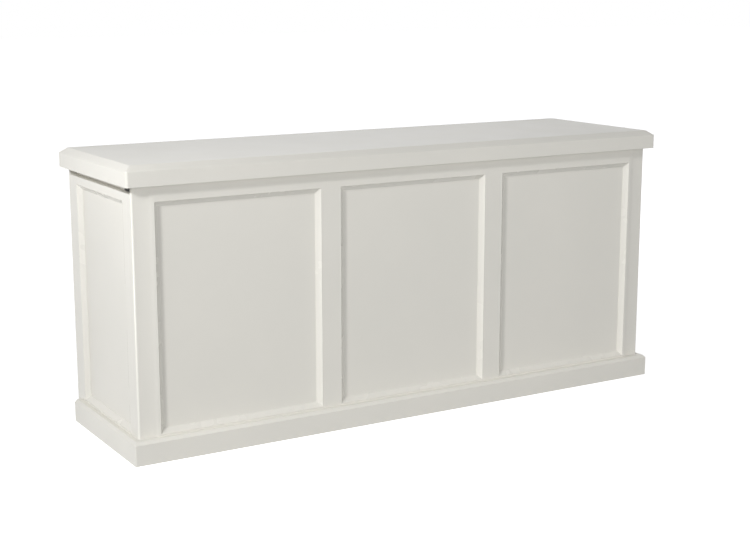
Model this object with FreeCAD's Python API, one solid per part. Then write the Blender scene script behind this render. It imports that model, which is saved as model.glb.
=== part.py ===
import FreeCAD, Part
import os
from math import sin, tan

# A free-standing bar counter: a panelled front and sides, a thick chamfered worktop, and three
# open bays with loose shelves behind. Millimetres, +Z up. The origin is on the floor under the
# middle of the worktop. +X runs along the counter, and +Y runs from the panelled front to the
# open back where the server stands.

# ---- Driving dimensions -------------------------------------------------------------------
# Worktop: four mitred edge pieces round a board, stiffened below by battens
top_length = 2440.0
top_depth = 720.0
counter_height = 1100.0
top_overhang = 30.0            # past the body, on all four sides
edge_height = 77.0             # full depth of the worktop's edge
edge_top_width = 60.0          # width of an edge piece where it shows on top
edge_bearing_width = 110.0     # width of an edge piece underneath
chamfer_run = 30.0
chamfer_rise = 20.0
chamfer_top_round = 4.0
chamfer_foot_round = 3.0
edge_foot_round = 2.0
top_corner_round = 12.0        # the four upright corners of the edge
top_board_thickness = 22.0
batten_width = 100.0

# Framed panels of the front and the sides
frame_thickness = 27.0
end_stile_width = 84.0         # as seen from the corner of the body
muntin_width = 80.0
front_top_rail_height = 57.0
bottom_rail_height = 96.0
side_shadow_gap = 28.0         # the sides stop this far below the worktop
bay_names = ("left", "middle", "right")    # one opening of the front, and one bay behind it
gap_stop_width = 18.0          # end of each back stile that closes the gap at the back
gap_run_out = 55.0             # the gap runs this far into the back of each front end stile
gap_face_left = 5.0            # wood left in front of that run-out
corner_round = 8.0             # outer upright corner of the body
post_setback = 6.0             # end stiles of the front, above the plinth, behind the rails' face
post_return_width = 12.0       # slope from the set-back face up to the rails' face
post_margin = 10.0             # strip left at the rails' face beside the opening
panel_thickness = 5.0
panel_setback = 18.0           # face of the frame to face of the panel
panel_back_play = 0.2          # groove wider than the panel, behind it
groove_depth = 10.0
panel_edge_play = 2.0          # panel edge to the bottom of its groove
tenon_end_play = 1.0

# Panel moulding: a narrow outer bead just proud of the frame, then a cove down to the panel
moulding_width = 21.0
bead_width = 3.0
bead_rise = 0.5                # proud of the frame
moulding_toe = 1.5             # height of its thin inner edge
cove_sag = 1.5                 # hollow of the cove below a straight bevel

# Plinth boards round the front and the sides
plinth_height = 90.0
plinth_thickness = 30.0
plinth_chamfer = 11.0
plinth_round = 2.0
plinth_corner_round = 6.0
plinth_back_stop = 36.0        # side boards end this far before the back of the body

# Carcass boards
board_thickness = 18.0
base_height = 90.0             # floor to the underside of the deck
kick_setback = 40.0            # toe space under the back of the deck
back_rail_height = 70.0
gable_notch_length = 40.0      # upper front corner cut out of each gable

# Loose shelves on pins
shelf_thickness = 22.0
shelf_side_play = 1.5          # at each end of a shelf
shelf_front_play = 3.0
shelf_back_setback = 25.0
shelf_round = 2.0              # along its back edge, top and bottom
first_space_height = 320.0     # deck to the lower shelf
shelf_pitch = 320.0            # underside of one shelf to the next
shelf_level_names = ("lower", "upper")
pin_diameter = 5.0
pin_shank = 7.5                # inside its hole
pin_hole_play = 0.1            # round the shank
pin_hole_depth = 8.0
pin_reach = 12.0               # of the spoon under the shelf
pin_width = 14.0
pin_thickness = 2.5
pin_inset = 60.0               # from the front and the back of a shelf
pin_hole_pitch = 32.0
spare_holes_each_way = 3       # above and below the holes in use

# Fixings
dowel_diameter = 8.0
dowel_play = 0.1
dowel_in_frame = 12.0
dowel_in_board = 22.0
dowel_hole_spare = 1.0         # hole deeper than the dowel, at each end
dowel_count = 5
dowel_end_margin = 170.0       # first and last dowel from the ends of the frame
screw_diameter = 4.0
screw_play = 0.1
screw_tip = 4.0
deck_screw_length = 45.0
deck_screw_head = 8.0          # countersunk flush with the deck
deck_screws_per_rail = 7
deck_screw_margin = 70.0
bracket_leg = 35.0
bracket_width = 30.0
bracket_thickness = 2.0
bracket_bend = 3.0             # inner radius of its bend
bracket_inset = 120.0          # from the front and the back of the body
bracket_screw_length = 15.0
bracket_screw_head = 8.0
bracket_screw_head_height = 2.4

# ---- Sizes worked out from the driving dimensions -----------------------------------------
body_length = top_length - 2 * top_overhang
body_depth = top_depth - 2 * top_overhang
body_height = counter_height - edge_height
front_face = -body_depth / 2
back_face = body_depth / 2
left_face = -body_length / 2
frame_back = front_face + frame_thickness

opening_count = len(bay_names)
openings_total = body_length - 2 * end_stile_width - (opening_count - 1) * muntin_width
opening_width = openings_total / opening_count
opening_pitch = opening_width + muntin_width
side_height = body_height - side_shadow_gap
panel_in_groove = groove_depth - panel_edge_play
tenon_length = groove_depth - tenon_end_play
groove_width = panel_thickness + panel_back_play

gable_inner_face = body_length / 2 - frame_thickness - board_thickness
divider_centres = [(i - opening_count / 2) * opening_pitch for i in range(1, opening_count)]
deck_top = base_height + board_thickness
seat_heights = [deck_top + first_space_height + i * shelf_pitch
                for i in range(len(shelf_level_names))]
shelf_front = frame_back + shelf_front_play
shelf_back = back_face - shelf_back_setback
pin_rows = (shelf_front + pin_inset, shelf_back - pin_inset)
bay_edges = [-gable_inner_face]
for centre in divider_centres:
    bay_edges += [centre - board_thickness / 2, centre + board_thickness / 2]
bay_edges.append(gable_inner_face)
bays = [(bay_edges[i], bay_edges[i + 1]) for i in range(0, len(bay_edges), 2)]

deck_screw_cone = (deck_screw_head - screw_diameter) / 2
bracket_outer_bend = bracket_bend + bracket_thickness
bracket_hole_centre = (bracket_leg + bracket_outer_bend) / 2    # middle of each flat leg

X_AXIS = FreeCAD.Vector(1, 0, 0)
Y_AXIS = FreeCAD.Vector(0, 1, 0)
Z_AXIS = FreeCAD.Vector(0, 0, 1)
ORIGIN = FreeCAD.Vector(0, 0, 0)
QUARTER_TURN = 90.0
CUT_MARGIN = 1.0               # a cutter reaches this far past what it cuts
SAME_PLACE = 1e-6              # points closer than this are one point


# ---- Shapes that several pieces share -----------------------------------------------------
def block(x_range, y_range, z_range):
    """Square-edged board between two values along each axis."""
    size = [high - low for low, high in (x_range, y_range, z_range)]
    return Part.makeBox(*size, FreeCAD.Vector(x_range[0], y_range[0], z_range[0]))


def rounded_section(corners):
    """Face in the YZ plane through corners (y, z, radius), each rounded by its radius."""
    stretches = []
    for i, (y, z, radius) in enumerate(corners):
        corner = FreeCAD.Vector(0, y, z)
        before = FreeCAD.Vector(0, *corners[i - 1][:2]) - corner
        after = FreeCAD.Vector(0, *corners[(i + 1) % len(corners)][:2]) - corner
        if radius == 0:
            stretches.append((corner, None, corner))
            continue
        half_angle = before.getAngle(after) / 2
        before.normalize()
        after.normalize()
        middle = before + after
        middle.normalize()
        reach = radius / tan(half_angle)
        crown = corner + middle * (radius / sin(half_angle) - radius)
        stretches.append((corner + before * reach, crown, corner + after * reach))
    edges = []
    for i, (start, crown, end) in enumerate(stretches):
        if crown is not None:
            edges.append(Part.Arc(start, crown, end).toShape())
        edges.append(Part.makeLine(end, stretches[(i + 1) % len(stretches)][0]))
    return Part.Face(Part.Wire(edges))


def mitred_length(section, length, mitre_start=True, mitre_end=True):
    """Run of a section along X. The section's Y is measured inward from the outer edge."""
    bounds = section.BoundBox
    run = section.extrude(X_AXIS * length)
    reach = bounds.YMax + CUT_MARGIN
    for mitred, corner, way in ((mitre_start, 0, 1), (mitre_end, length, -1)):
        if not mitred:
            continue
        outside = corner - way * CUT_MARGIN
        plan = [(corner, 0), (corner + way * reach, reach), (outside, reach), (outside, 0)]
        outline = [FreeCAD.Vector(x, y, bounds.ZMin - CUT_MARGIN) for x, y in plan]
        offcut = Part.Face(Part.makePolygon(outline + outline[:1]))
        run = run.cut(offcut.extrude(Z_AXIS * (bounds.ZLength + 2 * CUT_MARGIN)))
    return run


def mitred_frame(section, length, width):
    """Front, right, back and left runs round a rectangle centred on the Z axis."""
    half_length = length / 2
    half_width = width / 2
    starts = ((-half_length, -half_width), (half_length, -half_width),
              (half_length, half_width), (-half_length, half_width))
    runs = []
    for turn, (x, y) in enumerate(starts):
        run = mitred_length(section, width if turn % 2 else length)
        run.rotate(ORIGIN, Z_AXIS, turn * QUARTER_TURN)
        run.translate(FreeCAD.Vector(x, y, 0))
        runs.append(run)
    return runs


def inside_round_corners(shapes, x_range, y_range, z_range, radius, is_rounded):
    """Trim shapes to a block whose upright edges are rounded where is_rounded(x, y) holds."""
    envelope = block(x_range, y_range, z_range)
    upright = [edge for edge in envelope.Edges if edge.BoundBox.ZLength > SAME_PLACE]
    rounded = [edge for edge in upright if is_rounded(edge.Vertexes[0].X, edge.Vertexes[0].Y)]
    envelope = envelope.makeFillet(radius, rounded)
    return [shape.common(envelope) for shape in shapes]


def rod(start, direction, diameter, length):
    return Part.makeCylinder(diameter / 2, length, FreeCAD.Vector(*start), direction)


def cut_all(shape, tools):
    return shape.cut(Part.makeCompound(tools)) if tools else shape


# ---- Worktop ------------------------------------------------------------------------------
def build_worktop():
    ledge = edge_height - top_board_thickness
    section = rounded_section([
        (0, 0, edge_foot_round),
        (0, edge_height - chamfer_rise, chamfer_foot_round),
        (chamfer_run, edge_height, chamfer_top_round),
        (edge_top_width, edge_height, 0),
        (edge_top_width, ledge, 0),
        (edge_bearing_width, ledge, 0),
        (edge_bearing_width, 0, 0),
    ])
    edges = inside_round_corners(
        mitred_frame(section, top_length, top_depth), (-top_length / 2, top_length / 2),
        (-top_depth / 2, top_depth / 2), (0, edge_height), top_corner_round, lambda x, y: True)
    for edge in edges:
        edge.translate(Z_AXIS * body_height)
    pieces = dict(zip(("top_edge_front", "top_edge_right", "top_edge_back", "top_edge_left"), edges))

    half_length = top_length / 2 - edge_top_width
    half_depth = top_depth / 2 - edge_top_width
    underside = counter_height - top_board_thickness
    pieces["top_board"] = block((-half_length, half_length), (-half_depth, half_depth),
                                (underside, counter_height))

    batten_end = top_depth / 2 - edge_bearing_width
    bay_centres = [(low + high) / 2 for low, high in bays]
    for number, centre in enumerate(sorted(divider_centres + bay_centres), start=1):
        pieces[f"top_batten_{number}"] = block(
            (centre - batten_width / 2, centre + batten_width / 2),
            (-batten_end, batten_end), (body_height, underside))
    return pieces


# ---- Framed panels ------------------------------------------------------------------------
# A framed panel is built with its face in the XZ plane, looking towards -Y, and its lower left
# corner at the origin. Its members are grooved for the panels and stub tenoned into each other.
def moulding_section():
    """Bead and cove, drawn inward (Y) from the frame and outward (Z) from the panel."""
    def at(inward, outward):
        return FreeCAD.Vector(0, inward, outward)
    cove_middle = at((bead_width + moulding_width) / 2,
                     (panel_setback + moulding_toe) / 2 - cove_sag)
    crest = at(bead_width / 2, panel_setback + bead_rise)
    foot_of_bead = at(bead_width, panel_setback)
    toe = at(moulding_width, moulding_toe)
    edges = [
        Part.Arc(at(0, panel_setback), crest, foot_of_bead).toShape(),
        Part.Arc(foot_of_bead, cove_middle, toe).toShape(),
        Part.makeLine(toe, at(moulding_width, 0)),
        Part.makeLine(at(moulding_width, 0), at(0, 0)),
        Part.makeLine(at(0, 0), at(0, panel_setback)),
    ]
    return Part.Face(Part.Wire(edges))


def groove(x_range, z_range):
    return block(x_range, (panel_setback, panel_setback + groove_width), z_range)


def tongue(x_range, z_range):
    return block(x_range, (panel_setback, panel_setback + panel_thickness), z_range)


def framed_panel(width, height, left_stile, right_stile, top_rail, muntin_centres=()):
    """Members, panels and mouldings of one framed panel, each under its own short name."""
    depth = (0, frame_thickness)
    inner_left = left_stile
    inner_right = width - right_stile
    low = bottom_rail_height
    high = height - top_rail
    pieces = {}

    stile = block((0, left_stile), depth, (0, height))
    pieces["stile_left"] = stile.cut(groove((left_stile - groove_depth, left_stile), (0, height)))
    stile = block((inner_right, width), depth, (0, height))
    pieces["stile_right"] = stile.cut(groove((inner_right, inner_right + groove_depth), (0, height)))

    tenon_range = (inner_left - tenon_length, inner_right + tenon_length)
    rail = block((inner_left, inner_right), depth, (0, low))
    rail = rail.fuse(tongue(tenon_range, (0, low - groove_depth)))
    pieces["rail_bottom"] = rail.cut(groove(tenon_range, (low - groove_depth, low)))
    rail = block((inner_left, inner_right), depth, (high, height))
    rail = rail.fuse(tongue(tenon_range, (high + groove_depth, height)))
    pieces["rail_top"] = rail.cut(groove(tenon_range, (high, high + groove_depth)))

    edges = [inner_left]
    for number, centre in enumerate(muntin_centres, start=1):
        left = centre - muntin_width / 2
        right = centre + muntin_width / 2
        muntin = block((left, right), depth, (low, high))
        muntin = muntin.cut(groove((left, left + groove_depth), (low, high)))
        muntin = muntin.cut(groove((right - groove_depth, right), (low, high)))
        pieces[f"muntin_{number}"] = muntin.fuse(tongue(
            (left + groove_depth, right - groove_depth), (low - tenon_length, high + tenon_length)))
        edges += [left, right]
    edges.append(inner_right)

    for number in range(len(edges) // 2):
        left, right = edges[2 * number:2 * number + 2]
        pieces[f"panel_{number + 1}"] = tongue(
            (left - panel_in_groove, right + panel_in_groove),
            (low - panel_in_groove, high + panel_in_groove))
        runs = Part.makeCompound(mitred_frame(moulding_section(), right - left, high - low))
        runs.rotate(ORIGIN, X_AXIS, QUARTER_TURN)
        runs.translate(FreeCAD.Vector((left + right) / 2, panel_setback, (low + high) / 2))
        pieces[f"moulding_{number + 1}"] = runs
    return {name: piece.removeSplitter() for name, piece in pieces.items()}


def set_back_post(stile, corner_x, way):
    """Set an end stile back above the plinth, let the side's gap run out into it and ease its
    outer corner. Way leads inward."""
    def at(inward, depth):
        return FreeCAD.Vector(corner_x + way * inward, depth, plinth_height)
    return_end = end_stile_width - post_margin
    outline = [at(-CUT_MARGIN, -CUT_MARGIN), at(-CUT_MARGIN, post_setback),
               at(return_end - post_return_width, post_setback), at(return_end, 0),
               at(return_end, -CUT_MARGIN)]
    waste = Part.Face(Part.makePolygon(outline + outline[:1]))
    gap_end = corner_x + way * gap_run_out
    run_out = block(sorted((corner_x, gap_end)), (post_setback + gap_face_left, frame_thickness),
                    (side_height, body_height))
    post = stile.cut([waste.extrude(Z_AXIS * body_height), run_out])

    def on_corner(edge):
        return all(abs(v.X - corner_x) < SAME_PLACE and abs(v.Y - post_setback) < SAME_PLACE
                   for v in edge.Vertexes)
    return post.makeFillet(corner_round, [edge for edge in post.Edges if on_corner(edge)])


def build_front():
    centres = [centre - left_face for centre in divider_centres]
    local = framed_panel(body_length, body_height, end_stile_width, end_stile_width,
                         front_top_rail_height, centres)
    local["stile_left"] = set_back_post(local["stile_left"], 0, 1)
    local["stile_right"] = set_back_post(local["stile_right"], body_length, -1)
    names = {"muntin_1": "muntin_left", "muntin_2": "muntin_right"}
    for number, bay in enumerate(bay_names, start=1):
        names[f"panel_{number}"] = f"panel_{bay}"
        names[f"moulding_{number}"] = f"moulding_{bay}"
    pieces = {}
    for name, piece in local.items():
        piece.translate(FreeCAD.Vector(left_face, front_face, 0))
        pieces["front_" + names.get(name, name)] = piece
    return pieces


def build_side(side, turn, corner, stiles, stile_names):
    """One side: turned about Z by so many quarter turns, its lower left corner at (x, y)."""
    top_rail = front_top_rail_height - side_shadow_gap
    width = body_depth - frame_thickness
    local = framed_panel(width, side_height, *stiles, top_rail)
    names = {"stile_left": stile_names[0], "stile_right": stile_names[1],
             "panel_1": "panel", "moulding_1": "moulding"}
    back_stile, back_edge, way = {-1: ("stile_left", 0, 1), 1: ("stile_right", width, -1)}[turn]
    gap_stop = block(sorted((back_edge, back_edge + way * gap_stop_width)), (0, frame_thickness),
                     (side_height, body_height))
    local[back_stile] = local[back_stile].fuse(gap_stop).removeSplitter()
    pieces = {}
    for name, piece in local.items():
        piece.rotate(ORIGIN, Z_AXIS, turn * QUARTER_TURN)
        piece.translate(FreeCAD.Vector(*corner, 0))
        pieces[f"{side}_{names.get(name, name)}"] = piece
    return pieces


def build_sides():
    front_stile = end_stile_width - frame_thickness
    left = build_side("left", -1, (left_face, back_face), (end_stile_width, front_stile),
                      ("stile_back", "stile_front"))
    right = build_side("right", 1, (-left_face, frame_back), (front_stile, end_stile_width),
                       ("stile_front", "stile_back"))
    return {**left, **right}


# ---- Plinth -------------------------------------------------------------------------------
def build_plinth():
    section = rounded_section([
        (0, 0, 0),
        (0, plinth_height - plinth_chamfer, plinth_round),
        (plinth_chamfer, plinth_height, plinth_round),
        (plinth_thickness, plinth_height, 0),
        (plinth_thickness, 0, 0),
    ])
    outer_x = body_length / 2 + plinth_thickness
    outer_y = front_face - plinth_thickness
    side_end = back_face - plinth_back_stop
    front = mitred_length(section, 2 * outer_x)
    front.translate(FreeCAD.Vector(-outer_x, outer_y, 0))
    right = mitred_length(section, side_end - outer_y, mitre_end=False)
    right.rotate(ORIGIN, Z_AXIS, QUARTER_TURN)
    right.translate(FreeCAD.Vector(outer_x, outer_y, 0))
    left = mitred_length(section, side_end - outer_y, mitre_start=False)
    left.rotate(ORIGIN, Z_AXIS, -QUARTER_TURN)
    left.translate(FreeCAD.Vector(-outer_x, side_end, 0))
    boards = inside_round_corners(
        (front, left, right), (-outer_x, outer_x), (outer_y, side_end), (0, plinth_height),
        plinth_corner_round, lambda x, y: y < 0)
    return dict(zip(("plinth_front", "plinth_left", "plinth_right"), boards))


# ---- Fixings ------------------------------------------------------------------------------
def spaced(first, last, count):
    step = (last - first) / (count - 1)
    return [first + step * i for i in range(count)]


def dowel_places():
    """Middle of each dowel, on the joint between the front frame and a board behind it."""
    gable_middle = gable_inner_face + board_thickness / 2
    heights = spaced(dowel_end_margin, body_height - dowel_end_margin, dowel_count)
    boards = [-gable_middle, *divider_centres, gable_middle]
    return [(x, frame_back, z) for x in boards for z in heights]


def dowel_rods(play, spare):
    """Rods on the dowels' lines: the dowels themselves, or the holes that they sit in."""
    length = dowel_in_frame + dowel_in_board + 2 * spare
    return [rod((x, y - dowel_in_frame - spare, z), Y_AXIS, dowel_diameter + 2 * play, length)
            for x, y, z in dowel_places()]


def cone_head(diameter, height):
    """Countersunk head with its flat face at the origin, looking up."""
    return Part.makeCone(screw_diameter / 2, diameter / 2, height, FreeCAD.Vector(0, 0, -height))


def dome_head(diameter, height):
    """Domed head that stands on the plane through the origin."""
    dome_radius = (diameter ** 2 / 4 + height ** 2) / (2 * height)
    ball = Part.makeSphere(dome_radius, FreeCAD.Vector(0, 0, height - dome_radius))
    return ball.common(Part.makeCylinder(diameter, height))


def screw(length, head):
    """Pointed screw along -Z from the origin, with its head."""
    radius = screw_diameter / 2
    point_start = length - screw_tip
    shank = Part.makeCylinder(radius, point_start, FreeCAD.Vector(0, 0, -point_start))
    point = Part.makeCone(0, radius, screw_tip, FreeCAD.Vector(0, 0, -length))
    return shank.fuse([point, head]).removeSplitter()


def screw_hole(length):
    """Cutter for a screw's hole, with play round the shank and past the point."""
    depth = length + screw_play
    radius = screw_diameter / 2 + screw_play
    return Part.makeCylinder(radius, depth, FreeCAD.Vector(0, 0, -depth))


def placed(shape, place, axis=Z_AXIS, angle=0.0):
    copy = shape.copy()
    copy.rotate(ORIGIN, axis, angle)
    copy.translate(FreeCAD.Vector(*place))
    return copy


def base_rail_ranges():
    """Thickness ranges, along Y, of the front and back rails under the deck."""
    back = back_face - kick_setback
    return ((frame_back, frame_back + board_thickness), (back - board_thickness, back))


def deck_screw_places():
    xs = spaced(-gable_inner_face + deck_screw_margin, gable_inner_face - deck_screw_margin,
                deck_screws_per_rail)
    return [(x, (low + high) / 2, deck_top) for low, high in base_rail_ranges() for x in xs]


def bracket_places():
    """Inner corner of each bracket: the face of a board that it lies on, and which way it looks."""
    ys = (front_face + bracket_inset, back_face - bracket_inset)
    boards = [(-gable_inner_face, 1)]
    boards += [(centre + board_thickness / 2, 1) for centre in divider_centres]
    boards.append((gable_inner_face, -1))
    return [(x, y, way) for x, way in boards for y in ys]


def bracket():
    """Angle bracket with its upright leg on the YZ plane and its other leg under the XY plane."""
    half_width = bracket_width / 2
    legs = [
        block((0, bracket_thickness), (-half_width, half_width), (-bracket_leg, -bracket_outer_bend)),
        block((bracket_outer_bend, bracket_leg), (-half_width, half_width), (-bracket_thickness, 0)),
    ]
    bend_start = (bracket_outer_bend, -half_width, -bracket_outer_bend)
    bend = rod(bend_start, Y_AXIS, 2 * bracket_outer_bend, bracket_width)
    bend = bend.cut(rod(bend_start, Y_AXIS, 2 * bracket_bend, bracket_width))
    quarter = block((0, bracket_outer_bend), (-half_width, half_width), (-bracket_outer_bend, 0))
    angle = legs[0].fuse([legs[1], bend.common(quarter)]).removeSplitter()
    hole_diameter = screw_diameter + 2 * screw_play
    holes = [
        rod((0, 0, -bracket_hole_centre), X_AXIS, hole_diameter, bracket_thickness),
        rod((bracket_hole_centre, 0, -bracket_thickness), Z_AXIS, hole_diameter, bracket_thickness),
    ]
    return cut_all(angle, holes)


def bracket_screw_shapes(shape):
    """A screw, or its hole, at both holes of every bracket."""
    shapes = []
    for x, y, way in bracket_places():
        into_board = (x + way * bracket_thickness, y, body_height - bracket_hole_centre)
        into_top = (x + way * bracket_hole_centre, y, body_height - bracket_thickness)
        shapes.append(placed(shape, into_board, Y_AXIS, way * QUARTER_TURN))
        shapes.append(placed(shape, into_top, Y_AXIS, 2 * QUARTER_TURN))
    return shapes


def build_fixings():
    deck_screw = screw(deck_screw_length, cone_head(deck_screw_head, deck_screw_cone))
    bracket_screw = screw(bracket_screw_length, dome_head(bracket_screw_head, bracket_screw_head_height))
    angles = {1: 0.0, -1: 2 * QUARTER_TURN}
    return {
        "frame_dowels": Part.makeCompound(dowel_rods(0, 0)),
        "deck_screws": Part.makeCompound([placed(deck_screw, at) for at in deck_screw_places()]),
        "top_brackets": Part.makeCompound([placed(bracket(), (x, y, body_height), Z_AXIS, angles[way])
                                           for x, y, way in bracket_places()]),
        "bracket_screws": Part.makeCompound(bracket_screw_shapes(bracket_screw)),
    }


# ---- Carcass ------------------------------------------------------------------------------
def board_faces():
    """Every upright board face that carries shelves: its X, and which way it looks."""
    return [face for low, high in bays for face in ((low, 1), (high, -1))]


def pin_holes():
    holes = []
    offsets = range(-spare_holes_each_way, spare_holes_each_way + 1)
    for x, way in board_faces():
        for y in pin_rows:
            for seat in seat_heights:
                for step in offsets:
                    z = seat - pin_diameter / 2 + step * pin_hole_pitch
                    holes.append(rod((x, y, z), X_AXIS * -way, pin_diameter + 2 * pin_hole_play,
                                     pin_hole_depth))
    return holes


def build_carcass():
    back_rail_low = body_height - back_rail_height
    depth = (frame_back, back_face)
    pieces = {}
    for side, way in (("left", -1), ("right", 1)):
        inner = way * gable_inner_face
        outer = inner + way * board_thickness
        span = (min(inner, outer), max(inner, outer))
        notch = block(span, (frame_back, frame_back + gable_notch_length), (side_height, body_height))
        pieces[f"gable_{side}"] = block(span, depth, (0, body_height)).cut(notch)
    for side, centre in zip(("left", "right"), divider_centres):
        span = (centre - board_thickness / 2, centre + board_thickness / 2)
        notch = block(span, (back_face - board_thickness, back_face), (back_rail_low, body_height))
        pieces[f"divider_{side}"] = block(span, depth, (deck_top, body_height)).cut(notch)
        rails = base_rail_ranges()
        pieces[f"base_cross_{side}"] = block(span, (rails[0][1], rails[1][0]), (0, base_height))

    between_gables = (-gable_inner_face, gable_inner_face)
    pieces["deck"] = block(between_gables, depth, (base_height, deck_top))
    for name, y_range in zip(("base_rail_front", "base_rail_back"), base_rail_ranges()):
        pieces[name] = block(between_gables, y_range, (0, base_height))
    pieces["back_rail"] = block(between_gables, (back_face - board_thickness, back_face),
                                (back_rail_low, body_height))
    return pieces


# ---- Shelves ------------------------------------------------------------------------------
def build_shelves():
    section = rounded_section([
        (shelf_front, 0, 0),
        (shelf_back, 0, shelf_round),
        (shelf_back, shelf_thickness, shelf_round),
        (shelf_front, shelf_thickness, 0),
    ])
    shelves = {}
    for level, seat in zip(shelf_level_names, seat_heights):
        for bay, (low, high) in zip(bay_names, bays):
            shelf = section.extrude(X_AXIS * (high - low - 2 * shelf_side_play))
            shelf.translate(FreeCAD.Vector(low + shelf_side_play, 0, seat))
            shelves[f"shelf_{bay}_{level}"] = shelf
    return shelves


def build_shelf_pins():
    """Spoon pins: a round shank in the board and a flat spoon that the shelf rests on."""
    pins = []
    for x, way in board_faces():
        spoon = sorted((x, x + way * pin_reach))
        for y in pin_rows:
            for seat in seat_heights:
                shank = rod((x, y, seat - pin_diameter / 2), X_AXIS * -way, pin_diameter, pin_shank)
                plate = block(spoon, (y - pin_width / 2, y + pin_width / 2),
                              (seat - pin_thickness, seat))
                pins.append(plate.fuse(shank))
    return Part.makeCompound(pins)


# ---- Assembly -----------------------------------------------------------------------------
def drill(pieces, names, holes):
    """Cut into each named piece those holes that reach into it."""
    for name in names:
        inside = [hole for hole in holes if hole.BoundBox.intersect(pieces[name].BoundBox)]
        pieces[name] = cut_all(pieces[name], inside)


pieces = {**build_worktop(), **build_front(), **build_sides(), **build_plinth(), **build_carcass()}
uprights = [name for name in pieces if name.startswith(("gable_", "divider_"))]
frame_uprights = [name for name in pieces if name.startswith(("front_stile", "front_muntin"))]
undersides = [name for name in pieces if name.startswith(("top_edge", "top_batten"))]
base_rails = ["base_rail_front", "base_rail_back"]

deck_hole = screw_hole(deck_screw_length).fuse(cone_head(deck_screw_head, deck_screw_cone))
drill(pieces, uprights, pin_holes())
drill(pieces, uprights + frame_uprights, dowel_rods(dowel_play, dowel_hole_spare))
drill(pieces, uprights + undersides, bracket_screw_shapes(screw_hole(bracket_screw_length)))
drill(pieces, ["deck", *base_rails], [placed(deck_hole, at) for at in deck_screw_places()])

pieces.update(build_shelves())
pieces["shelf_pins"] = build_shelf_pins()
pieces.update(build_fixings())

os.makedirs("parts", exist_ok=True)
for name, piece in pieces.items():
    piece.exportStep(f"parts/{name}.step")
print(len(pieces), "nodes")
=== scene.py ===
from math import asin, cos, radians, sin

import bmesh
import bpy
from mathutils import Matrix, Vector


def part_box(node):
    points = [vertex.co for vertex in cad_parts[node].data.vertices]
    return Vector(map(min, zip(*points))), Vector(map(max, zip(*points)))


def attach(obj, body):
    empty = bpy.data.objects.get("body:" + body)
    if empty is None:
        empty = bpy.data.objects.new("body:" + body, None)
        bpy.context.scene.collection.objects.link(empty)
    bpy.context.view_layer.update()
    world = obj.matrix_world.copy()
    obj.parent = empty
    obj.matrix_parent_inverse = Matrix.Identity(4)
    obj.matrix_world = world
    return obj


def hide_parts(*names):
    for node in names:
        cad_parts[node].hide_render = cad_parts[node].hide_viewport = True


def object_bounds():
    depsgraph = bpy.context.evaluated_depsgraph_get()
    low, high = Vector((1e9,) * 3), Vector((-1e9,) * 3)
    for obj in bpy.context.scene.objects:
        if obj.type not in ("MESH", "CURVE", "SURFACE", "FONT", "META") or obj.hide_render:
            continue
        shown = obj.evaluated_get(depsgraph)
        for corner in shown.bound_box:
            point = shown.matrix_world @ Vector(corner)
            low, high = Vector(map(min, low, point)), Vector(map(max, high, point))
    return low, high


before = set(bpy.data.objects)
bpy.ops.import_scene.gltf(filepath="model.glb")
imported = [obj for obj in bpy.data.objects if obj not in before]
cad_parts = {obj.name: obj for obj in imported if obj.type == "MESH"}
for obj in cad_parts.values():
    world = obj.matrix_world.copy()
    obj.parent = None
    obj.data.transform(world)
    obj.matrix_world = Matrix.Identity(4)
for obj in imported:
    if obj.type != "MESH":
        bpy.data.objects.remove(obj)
cad_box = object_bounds()


# ---- Worktop ------------------------------------------------------------------------------
# Four lengths of chamfered edging, mitred and glued round a board that lies in their rebate.
# The joints are filled and rubbed down, and the whole top is sprayed with satin off-white paint.
PAINT = (0.826, 0.806, 0.746)
PAINT_SHADE = (0.800, 0.784, 0.726)
MIDDLE_TONES = (0.3, 0.7)
GLOSS_SWING = 0.04
BRUSH_STRETCH = 0.02
# Scales of the noise textures.
TONE_CLOUDS = 2.4
GLOSS_CLOUDS = 5.5
BRUSH_MARKS = 170
STIPPLE = 520
# Arrises sharper than the angle stay sharp, and points closer than the distance are one.
SHARP_ANGLE = radians(35)
SAME_PLACE = 1e-6


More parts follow.
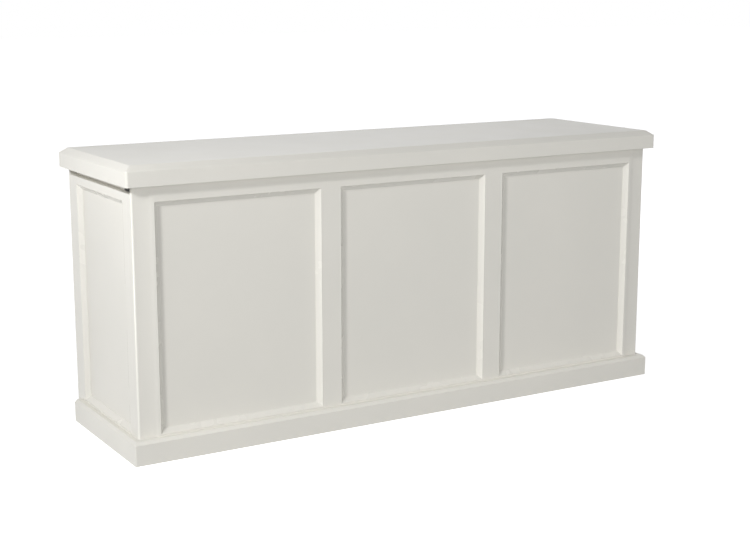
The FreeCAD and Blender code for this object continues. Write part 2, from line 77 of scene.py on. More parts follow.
def painted(name, brushed, roughness, drag_depth, stipple_depth):
    """Off-white paint on board: clouded a little in tone and gloss, laid off along one axis."""
    material = bpy.data.materials.new(name)
    material.use_nodes = True
    nodes = material.node_tree.nodes
    links = material.node_tree.links
    shader = nodes["Principled BSDF"]
    place = nodes.new("ShaderNodeTexCoord")

    def noise(scale, detail, stretch=(1, 1, 1)):
        turned = nodes.new("ShaderNodeMapping")
        turned.inputs["Scale"].default_value = stretch
        texture = nodes.new("ShaderNodeTexNoise")
        texture.inputs["Scale"].default_value = scale
        texture.inputs["Detail"].default_value = detail
        links.new(place.outputs["Object"], turned.inputs["Vector"])
        links.new(turned.outputs["Vector"], texture.inputs["Vector"])
        return texture.outputs["Fac"]

    tone = nodes.new("ShaderNodeValToRGB")
    shades = zip(tone.color_ramp.elements, MIDDLE_TONES, (PAINT_SHADE, PAINT))
    for element, position, colour in shades:
        element.position = position
        element.color = (*colour, 1)
    links.new(noise(TONE_CLOUDS, detail=5), tone.inputs["Fac"])
    links.new(tone.outputs["Color"], shader.inputs["Base Color"])

    gloss = nodes.new("ShaderNodeMapRange")
    gloss.inputs["From Min"].default_value = MIDDLE_TONES[0]
    gloss.inputs["From Max"].default_value = MIDDLE_TONES[1]
    gloss.inputs["To Min"].default_value = roughness - GLOSS_SWING
    gloss.inputs["To Max"].default_value = roughness + GLOSS_SWING
    links.new(noise(GLOSS_CLOUDS, detail=3), gloss.inputs["Value"])
    links.new(gloss.outputs["Result"], shader.inputs["Roughness"])

    along = [BRUSH_STRETCH if axis == brushed else 1.0 for axis in "XYZ"]
    relief = None
    for height, depth in ((noise(BRUSH_MARKS, detail=2, stretch=along), drag_depth),
                          (noise(STIPPLE, detail=1), stipple_depth)):
        bump = nodes.new("ShaderNodeBump")
        bump.inputs["Strength"].default_value = 0.5
        bump.inputs["Distance"].default_value = depth
        links.new(height, bump.inputs["Height"])
        if relief:
            links.new(relief, bump.inputs["Normal"])
        relief = bump.outputs["Normal"]
    links.new(relief, shader.inputs["Normal"])
    return material


def dress(node, material):
    """Give a CAD node its finish in place of the plain one that it came with."""
    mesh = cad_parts[node].data
    mesh.materials.clear()
    mesh.materials.append(material)


def make_piece(name, bm, material, slot, *stands_for, body="carcass"):
    """Turn a bmesh into a smooth-shaded piece that rides on its body in place of CAD nodes."""
    mesh = bpy.data.meshes.new(name)
    bm.to_mesh(mesh)
    bm.free()
    mesh.materials.append(material)
    mesh.shade_smooth()
    mesh.set_sharp_from_angle(angle=SHARP_ANGLE)
    piece = bpy.data.objects.new(name, mesh)
    bpy.context.scene.collection.objects.link(piece)
    even = piece.modifiers.new("even shading", "WEIGHTED_NORMAL")
    even.keep_sharp = True
    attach(piece, body)
    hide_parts(*stands_for)


def swept_section(section, length):
    """Sweep a face in the YZ plane along X."""
    bm = bmesh.new()
    swept = bmesh.ops.extrude_face_region(bm, geom=[section(bm)])
    end = [v for v in swept["geom"] if isinstance(v, bmesh.types.BMVert)]
    bmesh.ops.translate(bm, verts=end, vec=(length, 0, 0))
    bmesh.ops.recalc_face_normals(bm, faces=bm.faces)
    return bm


def polygon(points):
    """Section through corner points (inward, up)."""
    return lambda bm: bm.faces.new([bm.verts.new((0, y, z)) for y, z in points])


def ease_corners(bm, rounds):
    """Round the long edges that stand at the given corner points of a swept section."""
    for (y, z), reach in rounds:
        edges = [e for e in bm.edges
                 if all(abs(v.co.y - y) + abs(v.co.z - z) < SAME_PLACE for v in e.verts)]
        bmesh.ops.bevel(bm, geom=edges, offset=reach, segments=4, profile=0.5,
                        affect="EDGES", material=-1)


def mitre_round_corners(bm, length, radius, start=True, end=True):
    """Mitre the ends of a swept section, and lead its outer face round an upright corner."""
    steps = 6
    depth = max(v.co.y for v in bm.verts)
    for wanted, corner, way in ((start, 0, 1), (end, length, -1)):
        if not wanted:
            continue
        for step in range(1, steps + 1):
            bmesh.ops.bisect_plane(bm, geom=bm.verts[:] + bm.edges[:] + bm.faces[:],
                                   plane_co=(corner + way * radius * step / steps, 0, 0),
                                   plane_no=(1, 0, 0))
        for vert in bm.verts:
            along = way * (vert.co.x - corner)
            if along > radius + SAME_PLACE:
                continue
            outside = radius - vert.co.y
            if outside > 0:
                turn = radians(45) * (1 - along / radius)
                vert.co.y = radius - outside * cos(turn)
                vert.co.x = corner + way * (radius - outside * sin(turn))
            else:
                vert.co.x = corner + way * (along + vert.co.y * (1 - along / depth))


def lay(bm, turn, x, y, z=0.0):
    """Turn a run about Z by quarter turns and set its outer corner at a point."""
    quarter_turns = Matrix.Rotation(radians(90) * turn, 4, "Z")
    bmesh.ops.transform(bm, verts=bm.verts, matrix=Matrix.Translation((x, y, z)) @ quarter_turns)


top_paint = painted("sprayed top paint", None, roughness=0.34,
                    drag_depth=0.00001, stipple_depth=0.000006)
low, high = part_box("top_edge_front")
top_foot = low.z
edging_height = high.z - low.z
CHAMFER_DOWN = 0.020
CHAMFER_IN = 0.030
BOARD_INSET = 0.060
REBATE_DEPTH = 0.022
EDGING_WIDTH = 0.110
FOOT_ROUND = 0.0020
SHOULDER_ROUND = 0.0022
BROW_ROUND = 0.0016
TOP_CORNER_ROUND = 0.012
edging_section = (
    (0, 0),
    (0, edging_height - CHAMFER_DOWN),
    (CHAMFER_IN, edging_height),
    (BOARD_INSET, edging_height),
    (BOARD_INSET, edging_height - REBATE_DEPTH),
    (EDGING_WIDTH, edging_height - REBATE_DEPTH),
    (EDGING_WIDTH, 0),
)
edging_rounds = tuple(zip(edging_section, (FOOT_ROUND, SHOULDER_ROUND, BROW_ROUND)))
top_low, top_high = cad_box
for turn, side in enumerate(("front", "right", "back", "left")):
    run = (top_high.y - top_low.y) if turn % 2 else (top_high.x - top_low.x)
    edging = swept_section(polygon(edging_section), run)
    ease_corners(edging, edging_rounds)
    mitre_round_corners(edging, run, TOP_CORNER_ROUND)
    lay(edging, turn, top_low.x if side in ("front", "left") else top_high.x,
        top_low.y if side in ("front", "right") else top_high.y, top_foot)
    make_piece(f"worktop_edging_{side}", edging, top_paint, "painted_board", f"top_edge_{side}")
dress("top_board", top_paint)


# ---- Front and side frames ----------------------------------------------------------------
# Stiles, muntins and rails of solid wood, stub tenoned and glued, with a thin board in their
# grooves. Frames are brushed along the wood, and the flat panels are rolled.
upright_paint = painted("paint brushed upwards", "Z", roughness=0.34,
                        drag_depth=0.00005, stipple_depth=0.00002)
cross_paint = painted("paint brushed across", "X", roughness=0.34,
                      drag_depth=0.00005, stipple_depth=0.00002)
depth_paint = painted("paint brushed front to back", "Y", roughness=0.34,
                      drag_depth=0.00005, stipple_depth=0.00002)
panel_paint = painted("rolled panel paint", None, roughness=0.38,
                      drag_depth=0.00003, stipple_depth=0.00004)
FLAT_WITHIN = radians(0.5)
SQUARE_FROM = radians(80)


def joined_copy(node):
    """Copy a node's mesh, with its loose triangles joined into whole faces."""
    bm = bmesh.new()
    bm.from_mesh(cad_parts[node].data)
    bmesh.ops.remove_doubles(bm, verts=bm.verts, dist=SAME_PLACE)
    bmesh.ops.dissolve_limit(bm, angle_limit=FLAT_WITHIN, verts=bm.verts, edges=bm.edges)
    return bm


def ease_arrises(bm, reach, shortest):
    """Take the sharpness off the square arrises of a piece that are longer than shortest."""
    square = [e for e in bm.edges if e.is_manifold and e.calc_length() > shortest
              and e.calc_face_angle_signed() > SQUARE_FROM]
    bmesh.ops.bevel(bm, geom=square, offset=reach, segments=2, profile=0.5, affect="EDGES",
                    material=-1)


for side in ("left", "right"):
    make_piece(f"post_{side}", joined_copy(f"front_stile_{side}"), upright_paint, "painted_board",
               f"front_stile_{side}")
    back_post = joined_copy(f"{side}_stile_back")
    ease_arrises(back_post, reach=0.0008, shortest=1.0)
    make_piece(f"back_post_{side}", back_post, upright_paint, "painted_board", f"{side}_stile_back")
    dress(f"{side}_stile_front", upright_paint)
    dress(f"{side}_rail_top", depth_paint)
    dress(f"{side}_rail_bottom", depth_paint)
    dress(f"{side}_panel", panel_paint)
    dress(f"front_muntin_{side}", upright_paint)
for bay in ("left", "middle", "right"):
    dress(f"front_panel_{bay}", panel_paint)
for rail in ("top", "bottom"):
    dress(f"front_rail_{rail}", cross_paint)


# ---- Panel mouldings ----------------------------------------------------------------------
# A bead and cove moulding, mitred round each panel: the bead stands just proud of the frame, and
# the cove runs down to a thin toe on the panel. It is glued in and painted with the frame.
BEAD_WIDTH = 0.003
BEAD_RISE = 0.0005
MOULDING_WIDTH = 0.021
PANEL_SETBACK = 0.018
TOE = 0.0015
COVE_HOLLOW = 0.0011
CURVE_STEPS = 8


def bow(bm, vert, end, rise):
    """Chain of edges in the YZ plane from vert to end, bowed by rise to the left of the way."""
    chord = end - vert.co
    left = Vector((0, -chord.z, chord.y)).normalized() * (1 if rise > 0 else -1)
    half = chord.length / 2
    radius = (half ** 2 + rise ** 2) / (2 * abs(rise))
    centre = vert.co + chord / 2 - left * (radius - abs(rise))
    turn = 2 * asin(half / radius) * (-1 if rise > 0 else 1)
    made = bmesh.ops.spin(bm, geom=[vert], cent=centre, axis=(1, 0, 0), angle=turn,
                          steps=CURVE_STEPS, use_merge=False)
    return made["geom_last"][0]


def bead_and_cove(bm):
    """Section of the moulding: inward from the frame (Y) and outward from the panel (Z)."""
    back = bm.verts.new((0, 0, 0))
    start = bm.verts.new((0, 0, PANEL_SETBACK))
    bm.edges.new((back, start))
    foot = bow(bm, start, Vector((0, BEAD_WIDTH, PANEL_SETBACK)), BEAD_RISE)
    toe = bow(bm, foot, Vector((0, MOULDING_WIDTH, TOE)), -COVE_HOLLOW)
    edge = bm.verts.new((0, MOULDING_WIDTH, 0))
    bm.edges.new((toe, edge))
    bm.edges.new((edge, back))
    return bmesh.ops.contextual_create(bm, geom=bm.edges[:])["faces"][0]


def mitre_ends(bm, length):
    """Draw the ends of a swept section back by as much as each point lies inward."""
    for x, way in ((0, 1), (length, -1)):
        shear = Matrix.Identity(4)
        shear[0][1] = way
        ends = [v for v in bm.verts if abs(v.co.x - x) < SAME_PLACE]
        bmesh.ops.transform(bm, matrix=shear, verts=ends)


def moulding(name, node, turn, paint):
    """Four mitred runs round a panel whose face is turned by quarter turns from the front."""
    low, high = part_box(node)
    width = (high.y - low.y) if turn % 2 else (high.x - low.x)
    height = high.z - low.z
    ring = bmesh.new()
    for side in range(4):
        run = height if side % 2 else width
        strip = swept_section(bead_and_cove, run)
        mitre_ends(strip, run)
        corner = ((-1, -1), (1, -1), (1, 1), (-1, 1))[side]
        lay(strip, side, corner[0] * width / 2, corner[1] * height / 2)
        part = bpy.data.meshes.new("run")
        strip.to_mesh(part)
        strip.free()
        ring.from_mesh(part)
        bpy.data.meshes.remove(part)
    middle = (low + high) / 2
    depth = BEAD_RISE + PANEL_SETBACK
    faces = {0: (middle.x, low.y + depth), -1: (low.x + depth, middle.y),
             1: (high.x - depth, middle.y)}
    quarter_turns = Matrix.Rotation(radians(90) * turn, 4, "Z")
    stand = Matrix.Translation((*faces[turn], middle.z)) @ quarter_turns
    bmesh.ops.transform(ring, matrix=stand @ Matrix.Rotation(radians(90), 4, "X"), verts=ring.verts)
    make_piece(name, ring, paint, "painted_board", node)


moulding_paint = painted("moulding paint", None, roughness=0.26,
                         drag_depth=0.00001, stipple_depth=0.00001)
for bay in ("left", "middle", "right"):
    moulding(f"bead_and_cove_{bay}", f"front_moulding_{bay}", 0, moulding_paint)
moulding("bead_and_cove_left_side", "left_moulding", -1, moulding_paint)
moulding("bead_and_cove_right_side", "right_moulding", 1, moulding_paint)


# ---- Plinth -------------------------------------------------------------------------------
# Boards with a chamfered and rounded top edge, glued round the foot of the front and the sides
# and mitred at the two front corners.
plinth_paint = painted("plinth paint", None, roughness=0.36,
                       drag_depth=0.00003, stipple_depth=0.00002)
low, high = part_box("plinth_front")
PLINTH_THICKNESS = 0.030
PLINTH_CHAMFER = 0.011
PLINTH_CORNER_ROUND = 0.006
PLINTH_EDGE_ROUND = 0.0009
plinth_section = (
    (0, 0),
    (0, high.z - PLINTH_CHAMFER),
    (PLINTH_CHAMFER, high.z),
    (PLINTH_THICKNESS, high.z),
    (PLINTH_THICKNESS, 0),
)
plinth_rounds = tuple((corner, PLINTH_EDGE_ROUND) for corner in plinth_section[1:3])
_, side_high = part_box("plinth_left")
depth_run = side_high.y - low.y
for side, turn, run, corner, mitres in (
        ("front", 0, high.x - low.x, (low.x, low.y), (True, True)),
        ("right", 1, depth_run, (high.x, low.y), (True, False)),
        ("left", -1, depth_run, (low.x, side_high.y), (False, True))):
    board = swept_section(polygon(plinth_section), run)
    ease_corners(board, plinth_rounds)
    mitre_round_corners(board, run, PLINTH_CORNER_ROUND, *mitres)
    lay(board, turn, *corner)
    make_piece(f"plinth_board_{side}", board, plinth_paint, "painted_board", f"plinth_{side}")


# ---- Carcass ------------------------------------------------------------------------------
# 18 mm boards behind the front: gables and dividers drilled for shelf pins, a deck on rails and
# cross rails, and a rail under the back of the worktop. They are painted as the front is. On the
# gables' outer faces at the front end of the gap under the worktop, the colour is painted shade:
# near black, standing in for the deep shadow in that gap.
board_paint = painted("carcass paint", None, roughness=0.42,
                      drag_depth=0.00004, stipple_depth=0.00004)
gable_paint_and_gap_shade = painted("gable paint and painted gap shade", None, roughness=0.42,
                      drag_depth=0.00004, stipple_depth=0.00004)
# Painted shade: the gables' outer faces in the gap under the worktop are darkened to near black.
GAP_PAINTED_SHADE_END = -0.200
GAP_PAINTED_SHADE = (0.012, 0.011, 0.010, 1)
UNDER_SURFACE = 0.0002


def paint_gap_shade(material, outer_x, end_y, foot_z):
    """Painted shade: near black on the outer faces beyond outer_x, in front of end_y, above foot_z.
    """
    nodes = material.node_tree.nodes
    links = material.node_tree.links
    shader = nodes["Principled BSDF"]
    paint = shader.inputs["Base Color"].links[0].from_socket
    place = nodes.new("ShaderNodeTexCoord")
    parts = nodes.new("ShaderNodeSeparateXYZ")
    links.new(place.outputs["Object"], parts.inputs["Vector"])
    outward = nodes.new("ShaderNodeMath")
    outward.operation = "ABSOLUTE"
    links.new(parts.outputs["X"], outward.inputs[0])
    inside = None
    for measure, test, limit in ((outward.outputs[0], "GREATER_THAN", outer_x),
                                 (parts.outputs["Y"], "LESS_THAN", end_y),
                                 (parts.outputs["Z"], "GREATER_THAN", foot_z)):
        check = nodes.new("ShaderNodeMath")
        check.operation = test
        check.inputs[1].default_value = limit
        links.new(measure, check.inputs[0])
        if inside:
            both = nodes.new("ShaderNodeMath")
            both.operation = "MULTIPLY"
            links.new(inside, both.inputs[0])
            links.new(check.outputs[0], both.inputs[1])
            check = both
        inside = check.outputs[0]
    choice = nodes.new("ShaderNodeMixRGB")
    choice.inputs["Color2"].default_value = GAP_PAINTED_SHADE
    links.new(inside, choice.inputs["Fac"])
    links.new(paint, choice.inputs["Color1"])
    links.new(choice.outputs["Color"], shader.inputs["Base Color"])


# Paint the shade of the gap's front end onto the gables, in place of a real shadow.
paint_gap_shade(gable_paint_and_gap_shade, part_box("gable_right")[1].x - UNDER_SURFACE, GAP_PAINTED_SHADE_END,
           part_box("left_stile_front")[1].z)
for node in ("gable_left", "gable_right", "divider_left", "divider_right", "deck", "back_rail",
             "base_rail_front", "base_rail_back"):
    board = joined_copy(node)
    ease_arrises(board, reach=0.0010, shortest=0.3)
    make_piece(f"eased_{node}", board, gable_paint_and_gap_shade if "gable" in node else board_paint,
               "painted_board", node)
for side in ("left", "right"):
    dress(f"base_cross_{side}", board_paint)
for number in range(1, 6):
    dress(f"top_batten_{number}", board_paint)


# ---- Shelves ------------------------------------------------------------------------------
# Loose 22 mm shelves, painted all round, with the two long arrises of the back edge rounded.
# They lie on their pins, and slide out of the open back.
shelf_paint = painted("shelf paint", "X", roughness=0.38,
                      drag_depth=0.00004, stipple_depth=0.00003)
for level in ("lower", "upper"):
    for bay in ("left", "middle", "right"):
        node = f"shelf_{bay}_{level}"
        shelf = joined_copy(node)
        ease_arrises(shelf, reach=0.0006, shortest=0.3)
        make_piece(f"loose_{node}", shelf, shelf_paint, "painted_board", node, body=node)


# ---- Shelf pins ---------------------------------------------------------------------------
# Nickel plated spoon pins: a round shank pushed into one of the holes in a gable or divider, and
# a flat spoon with rounded corners that the shelf lies on. Four carry each shelf.
SHELF_SIDE_PLAY = 0.0015
PIN_INSET = 0.060
PIN_SHANK = 0.0075
PIN_DIAMETER = 0.005
SPOON_REACH = 0.012
SPOON_WIDTH = 0.014
SPOON_THICKNESS = 0.0025
SPOON_CORNER_ROUND = 0.005
PIN_RIM_ROUND = 0.0004
PLATE_GRAIN = 300
GRAIN_SHADE = 0.8
PLATE_GLOSS_SWING = 0.1


def plated(name, colour, roughness):
    """Plated steel, with a fine grain in its tone and gloss."""
    material = bpy.data.materials.new(name)
    material.use_nodes = True
    nodes = material.node_tree.nodes
    links = material.node_tree.links
    shader = nodes["Principled BSDF"]
    shader.inputs["Metallic"].default_value = 1.0
    place = nodes.new("ShaderNodeTexCoord")
    grain = nodes.new("ShaderNodeTexNoise")
    grain.inputs["Scale"].default_value = PLATE_GRAIN
    links.new(place.outputs["Object"], grain.inputs["Vector"])
    tone = nodes.new("ShaderNodeValToRGB")
    tone.color_ramp.elements[0].color = (*(GRAIN_SHADE * c for c in colour), 1)
    tone.color_ramp.elements[1].color = (*colour, 1)
    links.new(grain.outputs["Fac"], tone.inputs["Fac"])
    links.new(tone.outputs["Color"], shader.inputs["Base Color"])
    gloss = nodes.new("ShaderNodeMapRange")
    gloss.inputs["To Min"].default_value = roughness - PLATE_GLOSS_SWING
    gloss.inputs["To Max"].default_value = roughness + PLATE_GLOSS_SWING
    links.new(grain.outputs["Fac"], gloss.inputs["Value"])
    links.new(gloss.outputs["Result"], shader.inputs["Roughness"])
    return material


def spoon_pin(bm, place):
    """One pin at the corner of board and shelf, with its spoon along X and its shank behind."""
    half = SPOON_WIDTH / 2
    outline = [(0, -half), (SPOON_REACH, -half), (SPOON_REACH, half), (0, half)]
    spoon = bm.faces.new([bm.verts.new((x, y, 0)) for x, y in outline])
    tips = [v for v in spoon.verts if v.co.x > 0]
    bmesh.ops.bevel(bm, geom=tips, offset=SPOON_CORNER_ROUND, segments=6, profile=0.5,
                    affect="VERTICES", material=-1)
    face = [f for f in bm.faces if all(v.co.z == 0 and v.co.x >= 0 for v in f.verts)]
    swept = bmesh.ops.extrude_face_region(bm, geom=face)
    under = [v for v in swept["geom"] if isinstance(v, bmesh.types.BMVert)]
    bmesh.ops.translate(bm, verts=under, vec=(0, 0, -SPOON_THICKNESS))
    shank = bmesh.ops.create_cone(
        bm, cap_ends=True, segments=24, radius1=PIN_DIAMETER / 2, radius2=PIN_DIAMETER / 2,
        depth=PIN_SHANK, matrix=Matrix.Translation((-PIN_SHANK / 2, 0, -PIN_DIAMETER / 2))
        @ Matrix.Rotation(radians(90), 4, "Y"))["verts"]
    rims = {e for v in shank for e in v.link_edges
            if abs(e.verts[0].co.x - e.verts[1].co.x) < SAME_PLACE}
    bmesh.ops.bevel(bm, geom=list(rims), offset=PIN_RIM_ROUND, segments=2, profile=0.5,
                    affect="EDGES", material=-1)
    bmesh.ops.recalc_face_normals(bm, faces=bm.faces)
    bmesh.ops.transform(bm, matrix=place, verts=bm.verts)


def gather(whole, make, places):
    """Make the same fixing at every place, and collect them all in one bmesh."""
    for place in places:
        one = bmesh.new()
        make(one, place)
        part = bpy.data.meshes.new("one")
        one.to_mesh(part)
        one.free()
        whole.from_mesh(part)
        bpy.data.meshes.remove(part)
    return whole


pin_places = []
for level in ("lower", "upper"):
    for bay in ("left", "middle", "right"):
        low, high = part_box(f"shelf_{bay}_{level}")
        for x, turned in ((low.x - SHELF_SIDE_PLAY, 0), (high.x + SHELF_SIDE_PLAY, 180)):
            for y in (low.y + PIN_INSET, high.y - PIN_INSET):
                pin_places.append(Matrix.Translation((x, y, low.z))
                                  @ Matrix.Rotation(radians(turned), 4, "Z"))
nickel = plated("satin nickel plate", colour=(0.66, 0.64, 0.60), roughness=0.3)
make_piece("spoon_pins", gather(bmesh.new(), spoon_pin, pin_places), nickel, "nickel_steel",
           "shelf_pins")


# ---- Screws, brackets and dowels ----------------------------------------------------------
# Zinc plated angle brackets under the worktop with domed screws, countersunk screws flush with
# the deck, all with cross recesses, and beech dowels between the front frame and its boards.
SCREW_DIAMETER = 0.004
SCREW_TIP = 0.004
HEAD_DIAMETER = 0.008
DECK_SCREW_LENGTH = 0.045
DECK_SCREW_MARGIN = 0.070
DECK_SCREWS_PER_RAIL = 7
DOME = ((0.0026, 0.0022), (0.0033, 0.0017), (0.0038, 0.0010))
DOME_RIM_HEIGHT = 0.0002
BRACKET_SCREW_LENGTH = 0.015
BRACKET_THICKNESS = 0.002
BRACKET_HOLE_CENTRE = 0.020
BRACKET_INSET = 0.120
RECESS_REACH = 0.0022
RECESS_HALF_WIDTH = 0.0005
RECESS_DEPTH = 0.0014
RECESS_TAPER = 0.7
SPUN_SEAM = 1e-7


def cross_screw(outline):
    """Maker of a screw: its outline (radius, height) is spun, and a cross is sunk in its crown."""
    def make(bm, place):
        chain = [bm.verts.new((radius, 0, height)) for radius, height in outline]
        sides = [bm.edges.new(pair) for pair in zip(chain, chain[1:])]
        bmesh.ops.spin(bm, geom=sides, cent=(0, 0, 0), axis=(0, 0, 1), angle=radians(360),
                       steps=24, use_merge=True)
        bmesh.ops.remove_doubles(bm, verts=bm.verts, dist=SPUN_SEAM)
        crown = outline[0][1]
        rim = [e for e in bm.edges if e.is_boundary and e.verts[0].co.z == crown]
        arm, half = RECESS_REACH, RECESS_HALF_WIDTH
        cross = [(arm, -half), (arm, half), (half, half), (half, arm), (-half, arm), (-half, half),
                 (-arm, half), (-arm, -half), (-half, -half), (-half, -arm), (half, -arm),
                 (half, -half)]
        corners = [bm.verts.new((x, y, crown)) for x, y in cross]
        brim = [bm.edges.new((corners[i - 1], corners[i])) for i in range(len(corners))]
        bmesh.ops.triangle_fill(bm, edges=rim + brim, use_beauty=True)
        sunk = bmesh.ops.extrude_edge_only(bm, edges=brim)["geom"]
        floor_corners = [v for v in sunk if isinstance(v, bmesh.types.BMVert)]
        bmesh.ops.translate(bm, verts=floor_corners, vec=(0, 0, -RECESS_DEPTH))
        bmesh.ops.scale(bm, verts=floor_corners, vec=(RECESS_TAPER, RECESS_TAPER, 1))
        floor_edges = [e for e in sunk if isinstance(e, bmesh.types.BMEdge)]
        bmesh.ops.contextual_create(bm, geom=floor_edges)
        bmesh.ops.recalc_face_normals(bm, faces=bm.faces)
        bmesh.ops.transform(bm, matrix=place, verts=bm.verts)
    return make


zinc = plated("bright zinc plate", colour=(0.62, 0.63, 0.65), roughness=0.35)
shank = SCREW_DIAMETER / 2
head = HEAD_DIAMETER / 2
countersunk = cross_screw([
    (head, 0), (shank, shank - head), (shank, SCREW_TIP - DECK_SCREW_LENGTH),
    (0, -DECK_SCREW_LENGTH)])
_, deck_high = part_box("deck")
deck_places = []
for rail in ("base_rail_front", "base_rail_back"):
    low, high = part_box(rail)
    run = high.x - low.x - 2 * DECK_SCREW_MARGIN
    for number in range(DECK_SCREWS_PER_RAIL):
        x = low.x + DECK_SCREW_MARGIN + run * number / (DECK_SCREWS_PER_RAIL - 1)
        deck_places.append(Matrix.Translation((x, (low.y + high.y) / 2, deck_high.z)))
make_piece("cross_deck_screws", gather(bmesh.new(), countersunk, deck_places), zinc, "zinc_steel",
           "deck_screws")

domed = cross_screw([
    *DOME, (head, DOME_RIM_HEIGHT), (head, 0), (shank, 0),
    (shank, SCREW_TIP - BRACKET_SCREW_LENGTH), (0, -BRACKET_SCREW_LENGTH)])
boards = [(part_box(node)[1].x, 1) for node in ("gable_left", "divider_left", "divider_right")]
boards.append((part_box("gable_right")[0].x, -1))
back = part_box("gable_left")[1].y
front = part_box("front_rail_top")[0].y
bracket_places = []
for x, way in boards:
    for y in (front + BRACKET_INSET, back - BRACKET_INSET):
        in_board = (x + way * BRACKET_THICKNESS, y, top_foot - BRACKET_HOLE_CENTRE)
        in_top = (x + way * BRACKET_HOLE_CENTRE, y, top_foot - BRACKET_THICKNESS)
        bracket_places.append(Matrix.Translation(in_board)
                              @ Matrix.Rotation(radians(90) * way, 4, "Y"))
        bracket_places.append(Matrix.Translation(in_top) @ Matrix.Rotation(radians(180), 4, "Y"))
make_piece("domed_bracket_screws", gather(bmesh.new(), domed, bracket_places), zinc, "zinc_steel",
           "bracket_screws")
make_piece("angle_brackets", joined_copy("top_brackets"), zinc, "zinc_steel", "top_brackets")

BEECH_DARK = (0.36, 0.20, 0.10, 1)
BEECH_LIGHT = (0.62, 0.42, 0.25, 1)
BEECH_GRAIN = 900
BEECH_GRAIN_STRETCH = 0.08


def bare_beech():
    """Unpainted beech, with its grain along the dowels."""
    material = bpy.data.materials.new("beech")
    material.use_nodes = True
    nodes = material.node_tree.nodes
    links = material.node_tree.links
    shader = nodes["Principled BSDF"]
    shader.inputs["Roughness"].default_value = 0.6
    place = nodes.new("ShaderNodeTexCoord")
    drawn_out = nodes.new("ShaderNodeMapping")
    drawn_out.inputs["Scale"].default_value = (1, BEECH_GRAIN_STRETCH, 1)
    grain = nodes.new("ShaderNodeTexNoise")
    grain.inputs["Scale"].default_value = BEECH_GRAIN
    grain.inputs["Detail"].default_value = 6
    tone = nodes.new("ShaderNodeValToRGB")
    tone.color_ramp.elements[0].color = BEECH_DARK
    tone.color_ramp.elements[1].color = BEECH_LIGHT
    links.new(place.outputs["Object"], drawn_out.inputs["Vector"])
    links.new(drawn_out.outputs["Vector"], grain.inputs["Vector"])
    links.new(grain.outputs["Fac"], tone.inputs["Fac"])
    links.new(tone.outputs["Color"], shader.inputs["Base Color"])
    return material


make_piece("beech_dowels", joined_copy("frame_dowels"), bare_beech(), "beech", "frame_dowels")


# ---- Floor, light and camera --------------------------------------------------------------
# A pale floor and backdrop that the camera sees as white. A high key light and two weaker ones
# stand to the left, a wide fill in front and a back light behind. The light close to the left end
# and the fill aren't mirrored in the paint, where they would burn out the worktop from behind.
FLOOR_HALF_WIDTH = 40
FLOOR_LIT = (0.45, 0.45, 0.45, 1)
FLOOR_SEEN = (0.8, 0.8, 0.8, 1)
WHITE = (1, 1, 1, 1)
GLOW_NEAR = 0.82
GLOW_FAR = 1.0
GLOW_FADE_START = 2.0
GLOW_FADE_END = 6.0
AMBIENT = 0.14
LIT_POINT = (-0.3, 0, 0.55)


def lights_to_camera(material_nodes, material_links, seen, lit, output):
    """Show one shader to the camera and in reflections, and light the object with the other."""
    path = material_nodes.new("ShaderNodeLightPath")
    either = path.outputs["Is Camera Ray"]
    for ray in ("Is Glossy Ray", "Is Transmission Ray"):
        joined = material_nodes.new("ShaderNodeMath")
        joined.operation = "MAXIMUM"
        material_links.new(either, joined.inputs[0])
        material_links.new(path.outputs[ray], joined.inputs[1])
        either = joined.outputs[0]
    choice = material_nodes.new("ShaderNodeMixShader")
    material_links.new(either, choice.inputs["Fac"])
    material_links.new(lit, choice.inputs[1])
    material_links.new(seen, choice.inputs[2])
    material_links.new(choice.outputs[0], output)


def floor_finish():
    """Matt pale floor. What the camera sees glows white far off, and takes the shadow close by."""
    material = bpy.data.materials.new("pale floor")
    material.use_nodes = True
    nodes = material.node_tree.nodes
    links = material.node_tree.links
    matt = nodes["Principled BSDF"]
    matt.inputs["Base Color"].default_value = FLOOR_LIT
    matt.inputs["Roughness"].default_value = 0.9
    bright = nodes.new("ShaderNodeBsdfDiffuse")
    bright.inputs["Color"].default_value = FLOOR_SEEN
    glow = nodes.new("ShaderNodeEmission")
    glow.inputs["Color"].default_value = WHITE
    place = nodes.new("ShaderNodeTexCoord")
    distance = nodes.new("ShaderNodeVectorMath")
    distance.operation = "LENGTH"
    links.new(place.outputs["Object"], distance.inputs[0])
    fade = nodes.new("ShaderNodeMapRange")
    fade.inputs["From Min"].default_value = GLOW_FADE_START
    fade.inputs["From Max"].default_value = GLOW_FADE_END
    fade.inputs["To Min"].default_value = GLOW_NEAR
    fade.inputs["To Max"].default_value = GLOW_FAR
    links.new(distance.outputs["Value"], fade.inputs["Value"])
    links.new(fade.outputs["Result"], glow.inputs["Strength"])
    both = nodes.new("ShaderNodeAddShader")
    links.new(bright.outputs[0], both.inputs[0])
    links.new(glow.outputs[0], both.inputs[1])
    lights_to_camera(nodes, links, both.outputs[0], matt.outputs[0],
                     nodes["Material Output"].inputs["Surface"])
    return material


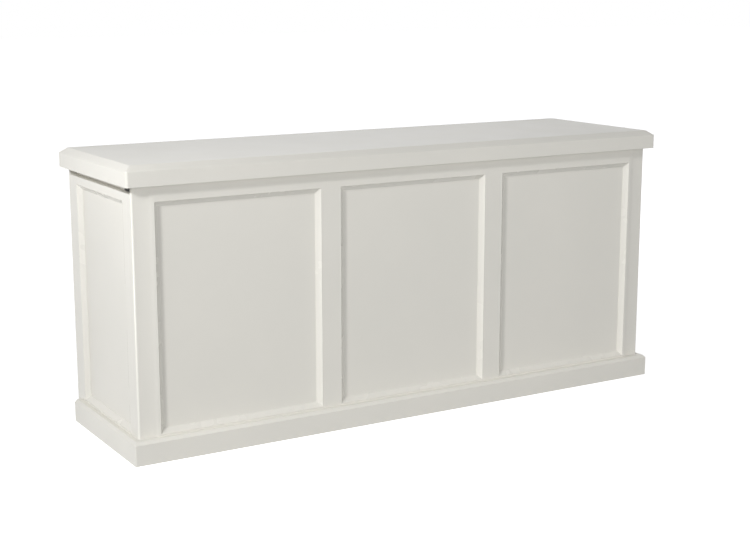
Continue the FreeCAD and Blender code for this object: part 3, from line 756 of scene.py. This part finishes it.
def studio_world():
    """Even weak light from all round, behind a backdrop that the camera sees as white."""
    world = bpy.data.worlds.new("studio")
    world.use_nodes = True
    bpy.context.scene.world = world
    nodes = world.node_tree.nodes
    ambient = nodes["Background"]
    ambient.inputs["Color"].default_value = WHITE
    ambient.inputs["Strength"].default_value = AMBIENT
    backdrop = nodes.new("ShaderNodeBackground")
    backdrop.inputs["Color"].default_value = WHITE
    lights_to_camera(nodes, world.node_tree.links, backdrop.outputs[0], ambient.outputs[0],
                     nodes["World Output"].inputs["Surface"])


def soft_light(name, place, size, power, mirrored=True):
    """Square lamp turned to the counter. One that isn't mirrored gives no reflection."""
    lamp = bpy.data.lights.new(name, "AREA")
    lamp.shape = "SQUARE"
    lamp.size = size
    lamp.energy = power
    holder = bpy.data.objects.new(name, lamp)
    bpy.context.scene.collection.objects.link(holder)
    holder.location = place
    holder.visible_glossy = mirrored
    way = Vector(LIT_POINT) - Vector(place)
    holder.rotation_euler = way.to_track_quat("-Z", "Y").to_euler()


floor_mesh = bpy.data.meshes.new("floor")
floor_grid = bmesh.new()
bmesh.ops.create_grid(floor_grid, x_segments=1, y_segments=1, size=FLOOR_HALF_WIDTH)
floor_grid.to_mesh(floor_mesh)
floor_grid.free()
floor = bpy.data.objects.new("floor", floor_mesh)
bpy.context.scene.collection.objects.link(floor)
floor_mesh.materials.append(floor_finish())
studio_world()

soft_light("high left key", (-9.476, -4.879, 6.550), size=1.5, power=640)
soft_light("near left light", (-2.176, -0.503, 1.583), size=0.6, power=6, mirrored=False)
soft_light("low left light", (-6.973, -4.333, 1.386), size=1.5, power=48)
soft_light("front fill", (0.517, -5.812, 1.797), size=3.0, power=100, mirrored=False)
soft_light("back light", (2.381, 4.644, 5.050), size=3.0, power=53)

camera = bpy.data.cameras.new("camera")
camera.sensor_width = 36.0
camera.lens = 67.53
view = bpy.data.objects.new("camera", camera)
bpy.context.scene.collection.objects.link(view)
view.location = (-2.979, -4.987, 1.722)
view.rotation_euler = (radians(78.514), 0, radians(-30.955))
bpy.context.scene.camera = view
bpy.context.scene.view_settings.view_transform = "Standard"
